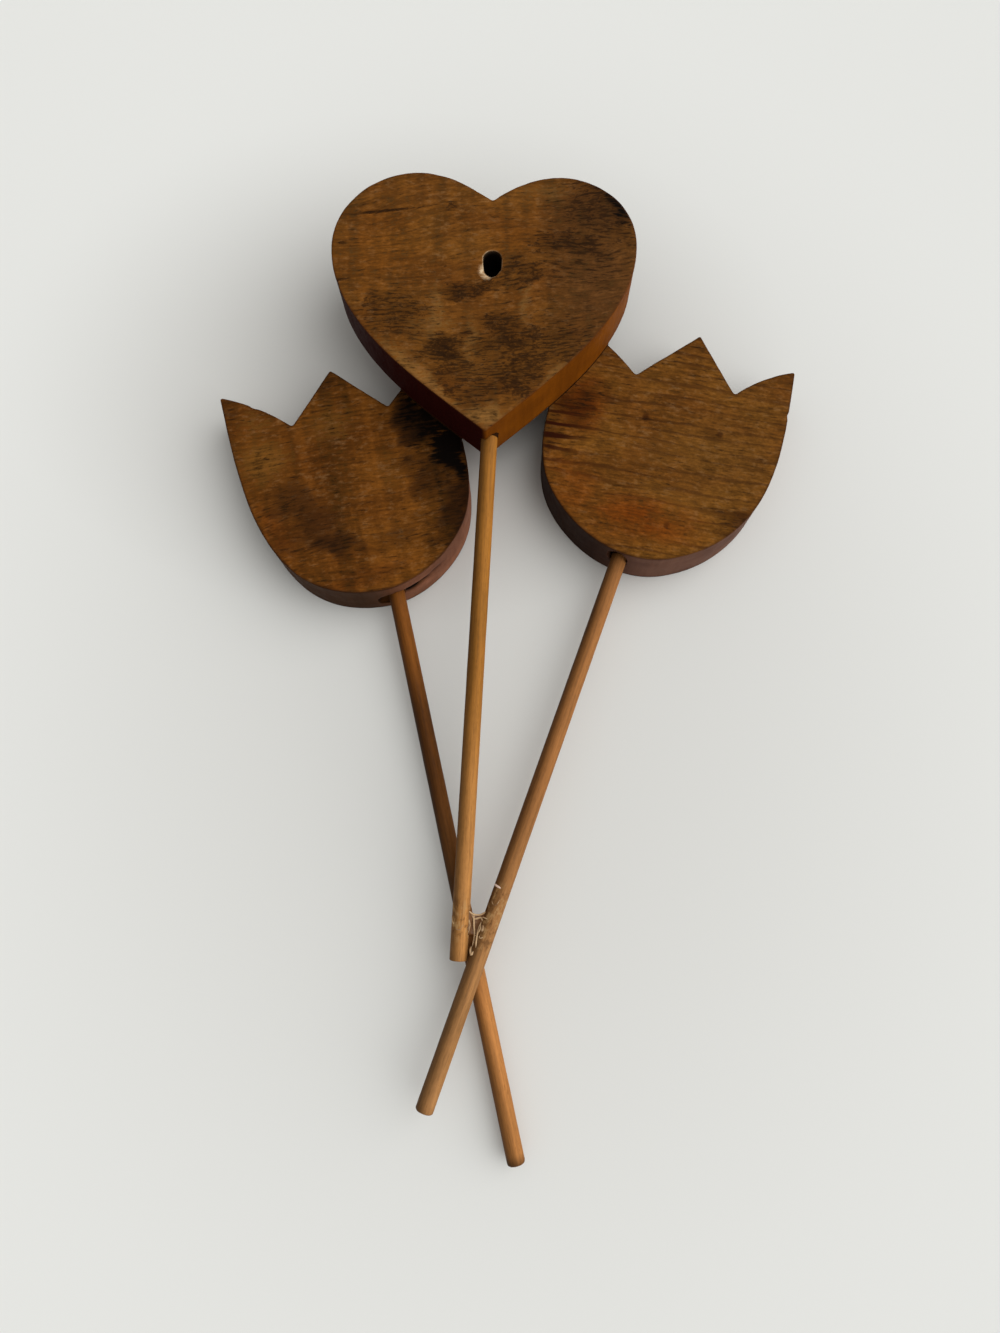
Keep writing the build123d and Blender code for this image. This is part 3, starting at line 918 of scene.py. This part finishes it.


# Looks of the boards. Dirt tints the wood by soil_tint, cakes on it by soil_crust and sinks into its
# flecks by fleck_share. The walls turn from the left wall colour, a painted shade, to wall along u, and to
# wall_far along v. A mark is its centre in the board's own frame, its reach along and across, its turn
# anticlockwise in degrees and its strength
heart_look = dict(
    deep=paint(90, 52, 15),
    light=paint(101, 62, 20),
    pale=paint(136, 96, 48),
    ring_colour=paint(66, 38, 12),
    warm_colour=paint(110, 64, 16),
    grey_colour=paint(80, 50, 23),
    dirt_colour=paint(42, 22, 6),
    soil_tint=0.36,
    soil_crust=0.8,
    fleck_share=-0.24,
    wall=paint(122, 66, 9),
    wall_dark=paint(108, 57, 8),
    painted_left_wall=paint(40, 8, 5),
    shade_turn=(-1.5, 0.5),
    wall_far=paint(84, 40, 9),
    far_turn=(56, 84),
    rim=paint(70, 34, 12),
    rim_share=0.45,
    ring_gap=5.2,
    ring_share=0.3,
    saw_share=1.6,
    slope=-0.05,
    sway=14.0,
    dirt=[
        ((42, 88), (26, 20), -20, 0.62), ((32, 73), (24, 11), 4, 0.75), ((36, 62), (28, 16), 0, 0.35),
        ((-6, 57), (22, 8), 14, 0.65), ((13, 62), (18, 8), 15, 0.6), ((10, 30), (40, 26), 25, 0.5),
        ((-32, 46), (24, 15), 0, 0.58), ((-15, 32), (20, 13), 0, 0.8), ((-8, 23), (17, 11), 20, 0.62),
        ((10, 36), (22, 16), 0, 0.68), ((25, 33), (28, 18), 25, 0.55), ((12, 23), (26, 14), 30, 0.62),
        ((3, 17), (22, 12), 8, 0.6), ((-11, 94), (7, 6), 0, 0.5),
    ],
    knots=[
        ((-37, 89.2), (22, 1.2), 5, 0.9), ((-51.5, 61), (5, 1.4), 0, 0.8), ((-51, 76), (3.5, 1.4), 0, 0.8),
    ],
    black_and_painted_shadow=[((47, 93), (22, 8), -40, 0.95), ((55, 76), (4, 12), 0, 0.5)],
    rubbed=[
        ((-21, 20), (32, 5.5), -45, 0.95), ((0, 6), (12, 6), 0, 1.1), ((26, 23), (26, 2.4), 41, 0.7),
        ((-17, 46), (4.5, 20), 0, 0.65), ((-18, 41), (13, 7), 0, 0.5), ((-5, 34), (4, 19), 0, 0.5),
        ((15, 49), (3.5, 16), 0, 0.65), ((22, 96), (17, 6), 0, 0.4),
    ],
    grey=[((42, 58), (28, 42), 0, 0.75), ((40, 86), (24, 18), 0, 0.7)],
    warm=[((-36, 72), (22, 28), 0, 0.5), ((10, 76), (14, 10), 0, 0.4)],
    streaked=[],
)
left_look = dict(
    deep=paint(82, 45, 10),
    light=paint(96, 56, 15),
    pale=paint(122, 80, 30),
    ring_colour=paint(56, 30, 8),
    warm_colour=paint(86, 44, 9),
    grey_colour=paint(60, 33, 13),
    dirt_colour=paint(36, 18, 6),
    soil_tint=0.65,
    soil_crust=0.4,
    fleck_share=-0.14,
    wall=paint(140, 91, 67),
    wall_dark=paint(116, 74, 54),
    painted_left_wall=paint(60, 38, 23),
    shade_turn=(-6, 20),
    wall_far=paint(84, 50, 30),
    far_turn=(-8, 14),
    rim=paint(40, 20, 8),
    rim_share=0.7,
    ring_gap=2.7,
    ring_share=0.3,
    saw_share=2.2,
    slope=0.03,
    sway=12.0,
    dirt=[
        # The first three dirt marks, along the right edge beside the heart, are partly dirt, partly painted
        # shadow of the heart
        ((25, -8), (15, 15), 0, 0.9), ((26, -30), (14, 20), 0, 0.65), ((35, -43), (13, 32), -8, 1.0),
        ((-17, -38), (14, 16), 0, 0.55), ((-10.5, -49), (14, 10), 0, 0.8), ((13, -51), (20, 10), 0, 0.42),
        ((-23, -30), (19, 13), 0, 0.55), ((0, 15), (7, 6), 0, 0.55), ((-40, 13), (6, 6), 0, 0.5),
        ((-26, -46), (12, 14), 0, 0.42), ((0, -63), (26, 7), 0, 0.35),
    ],
    knots=[],
    # On the left tulip the black marks are the heart's shadow, painted in
    black_and_painted_shadow=[
        ((36, -11), (34, 17), -48, 1.15), ((37, -20), (13, 18), 8, 1.5), ((39, -46), (5, 22), -8, 0.4),
    ],
    rubbed=[
        ((12, -25), (10, 13), 0, 0.3), ((-30, -12), (16, 13), 0, 0.85), ((-32, 4), (10, 9), 0, 0.55),
        ((-4, -2), (13, 11), 0, 0.55),
    ],
    grey=[((-14, -42), (14, 14), 0, 0.4), ((-22, -30), (13, 10), 0, 0.4)],
    warm=[((-31, -38), (7, 20), 22, 0.7), ((-4, -64), (26, 6), 8, 0.6), ((38, -46), (4, 18), -8, 0.5)],
    streaked=[],
)
right_look = dict(
    deep=paint(95, 56, 16),
    light=paint(106, 67, 21),
    pale=paint(124, 80, 32),
    ring_colour=paint(56, 29, 8),
    warm_colour=paint(104, 48, 4),
    grey_colour=paint(84, 54, 21),
    dirt_colour=paint(48, 18, 3),
    soil_tint=0.6,
    soil_crust=0.5,
    fleck_share=-0.14,
    wall=paint(106, 74, 60),
    wall_dark=paint(92, 62, 50),
    painted_left_wall=paint(42, 26, 19),
    shade_turn=(-24, 4),
    wall_far=paint(78, 50, 36),
    far_turn=(-8, 14),
    rim=paint(48, 25, 10),
    rim_share=0.6,
    ring_gap=4.6,
    ring_share=0.6,
    saw_share=0.5,
    slope=-0.06,
    sway=5.0,
    dirt=[
        ((-40, -19), (15, 12), 0, 0.75), ((-44, -31), (11, 13), 0, 0.6), ((-31, -10), (11, 7), 0, 0.45),
        ((30, -51), (9, 10), -30, 0.7), ((3, 15), (9, 11), 0, 0.35),
    ],
    knots=[
        ((-11.5, -16.4), (2.3, 2.8), 0, 0.9), ((16, -17.4), (2.3, 2.5), 0, 0.7),
        ((4, -56), (2, 2.5), 0, 0.6),
    ],
    black_and_painted_shadow=[],
    rubbed=[((-5, -28), (16, 10), 0, 0.3), ((4, -44), (20, 8), 0, 0.3)],
    grey=[((16, -26), (24, 24), 0, 0.3)],
    warm=[
        ((-32, -50), (15, 28), 32, 0.42), ((-5, -56), (32, 13), 0, 0.8), ((-35, -16), (12, 18), 0, 0.85),
    ],
    streaked=[((-43, -29), (17, 19), 0, 1.0)],
)
looks = {"heart": heart_look, "left_tulip": left_look, "right_tulip": right_look}

# Looks of the stems, with the stretches along each, in mm from its seat, where its upper colour fades to
# the lower one, where glue is smeared and where it is darker, and the tone and rounding of its free end
heart_stem_look = dict(
    upper=paint(134, 87, 32),
    lower=paint(163, 113, 61),
    pore=paint(92, 55, 20),
    fade=(90, 180),
    smeared=(172, 182),
    end_tone=0.8,
    end_round=0.35,
)
left_stem_look = dict(
    upper=paint(108, 62, 18),
    lower=paint(147, 97, 50),
    pore=paint(78, 44, 15),
    fade=(70, 160),
    end_tone=0.35,
    end_round=1.0,
    darkened=(50, 130),
    darkening=0.5,
)
right_stem_look = dict(
    upper=paint(131, 86, 45),
    lower=paint(139, 98, 57),
    pore=paint(90, 55, 24),
    fade=(90, 180),
    smeared=(138, 156),
    end_tone=0.75,
    end_round=1.0,
)
stem_looks = {"heart_stem": heart_stem_look, "left_stem": left_stem_look, "right_stem": right_stem_look}

# Places where a wall is knocked in: the place in the board's own frame, its reach, its depth, the
# middle and half-height of the dent, and how much painted shade lies in it
dents = {
    "heart": [((-51.5, 60), 1.2, 0.7, 37, 3, 0.0)],
    "left_tulip": [
        ((-30, 11.5), 1.6, 0.6, 18, 6, 0.0),
        ((13, -69), 4, 1.8, 10, 1.5, 2.2),
        ((17, -67.5), 3.5, 1.4, 10.6, 1.2, 1.7),
        ((23, -64.5), 3.5, 0.6, 11.8, 1.2, 0.7),
    ],
    "right_tulip": [((39, -4), 1.2, 0.7, 15, 6, 0.0)],
}

# The stem of each board, with the side on which its socket's mouth is broken out, and how far
stem_of = {
    "heart": ("heart_stem", 90, 0.2),
    "left_tulip": ("left_stem", -30, 5.0),
    "right_tulip": ("right_stem", 75, 4.8),
}

for node, (stem, chip_turn, chip_reach) in stem_of.items():
    board = make_board(node, dents[node])
    drill_socket(board, stem, chip_turn, chip_reach)
    board.data.materials.clear()
    board.data.materials.append(BoardWood(node + "_wood", looks[node]).material)
    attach(board, "root")
    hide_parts(node)

for seed, (stem, look) in enumerate(stem_looks.items(), 1):
    dowel = make_stem(stem, seed, look["end_round"])
    dowel.data.materials.append(dowel_material(stem + "_wood", look, stem_gap * seed, stem_length(stem)))
    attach(dowel, "root")
    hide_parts(stem)

web = make_crossing_glue()
web.data.materials.append(glue_material("drawn_glue", paint(104, 66, 32), paint(192, 160, 120), 0.3))
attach(web, "root")
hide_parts("crossing_glue")

joint_glue = glue_material("joint_glue", paint(42, 24, 12), paint(60, 38, 20), 0.0)
for node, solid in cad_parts.items():
    if node.endswith(("lap_glue", "socket_glue")):
        solid.data.materials.clear()
        solid.data.materials.append(joint_glue)


# Floor, light and camera


def make_floor():
    """Pale floor that the bouquet lies on, darkened near it by a painted shadow."""
    mesh = bpy.data.meshes.new("floor")
    corners = [(x * floor_reach, y * floor_reach, 0) for x, y in ((-1, -1), (1, -1), (1, 1), (-1, 1))]
    mesh.from_pydata(corners, [], [(0, 1, 2, 3)])
    floor = bpy.data.objects.new("floor", mesh)
    bpy.context.scene.collection.objects.link(floor)
    tree = Tree("pale_floor", gloss=0.05)
    place = tree.nodes.new("ShaderNodeTexCoord").outputs["Object"]
    # Painted shadow: a soft dark halo on the floor round the bouquet, centred a little to the left
    painted_halo = tree.spots(place, [((-0.01, 0.0), (0.24, 0.3), 0, 0.5), ((-0.03, 0.1), (0.19, 0.16), 0, 1.0)])
    tree.put(tree.shader.inputs["Base Color"], tree.mix(painted_halo, paint(*floor_pale), paint(*floor_painted_halo)))
    tree.shader.inputs["Roughness"].default_value = 0.9
    mesh.materials.append(tree.material)


def make_key():
    """Broad light from the right."""
    sun = bpy.data.lights.new("key", "SUN")
    sun.energy = key_strength
    sun.angle = radians(key_spread)
    lamp = bpy.data.objects.new("key", sun)
    bpy.context.scene.collection.objects.link(lamp)
    lamp.rotation_euler = Vector(key_from).to_track_quat("Z", "Y").to_euler()


def make_fill():
    """Dim light from all round that fades towards the left, seen as a pale backdrop."""
    world = bpy.data.worlds.new("studio")
    world.use_nodes = True
    nodes, links = world.node_tree.nodes, world.node_tree.links
    fill = nodes["Background"]
    fill.inputs["Color"].default_value = fill_colour
    split = nodes.new("ShaderNodeSeparateXYZ")
    links.new(nodes.new("ShaderNodeTexCoord").outputs["Generated"], split.inputs[0])
    fade = nodes.new("ShaderNodeMapRange")
    for socket, value in zip(fade.inputs, (0, -fill_turn, fill_turn, fill_left, fill_right)):
        socket.default_value = value
    links.new(split.outputs[0], fade.inputs[0])
    links.new(fade.outputs[0], fill.inputs["Strength"])
    backdrop = nodes.new("ShaderNodeBackground")
    backdrop.inputs["Color"].default_value = paint(*floor_pale)
    path = nodes.new("ShaderNodeLightPath")
    seen = path.outputs["Is Camera Ray"]
    for ray in ("Is Glossy Ray", "Is Transmission Ray"):
        either = nodes.new("ShaderNodeMath")
        either.operation = "MAXIMUM"
        links.new(seen, either.inputs[0])
        links.new(path.outputs[ray], either.inputs[1])
        seen = either.outputs[0]
    choice = nodes.new("ShaderNodeMixShader")
    links.new(seen, choice.inputs[0])
    links.new(fill.outputs[0], choice.inputs[1])
    links.new(backdrop.outputs[0], choice.inputs[2])
    links.new(choice.outputs[0], nodes["World Output"].inputs["Surface"])
    bpy.context.scene.world = world


def make_camera():
    """Camera above the bouquet, turned so that the point below it falls on its pixel."""
    camera = bpy.data.cameras.new("camera")
    camera.sensor_width = 36.0
    camera.lens = camera.sensor_width * focal_pixels / photo_height
    camera.clip_start = 0.01
    aside = (below_camera[0] - photo_width / 2) / focal_pixels
    below = (below_camera[1] - photo_height / 2) / focal_pixels
    up = -Vector((aside, -below, -1)).normalized()
    across = (Vector((1, 0, 0)) - up.x * up).normalized()
    turn = Matrix((across, up.cross(across), up))
    holder = bpy.data.objects.new("camera", camera)
    holder.matrix_world = Matrix.Translation(Vector(camera_place) * mm) @ turn.to_4x4()
    bpy.context.scene.collection.objects.link(holder)
    bpy.context.scene.camera = holder


make_floor()
make_key()
make_fill()
make_camera()
bpy.context.scene.view_settings.view_transform = "Standard"
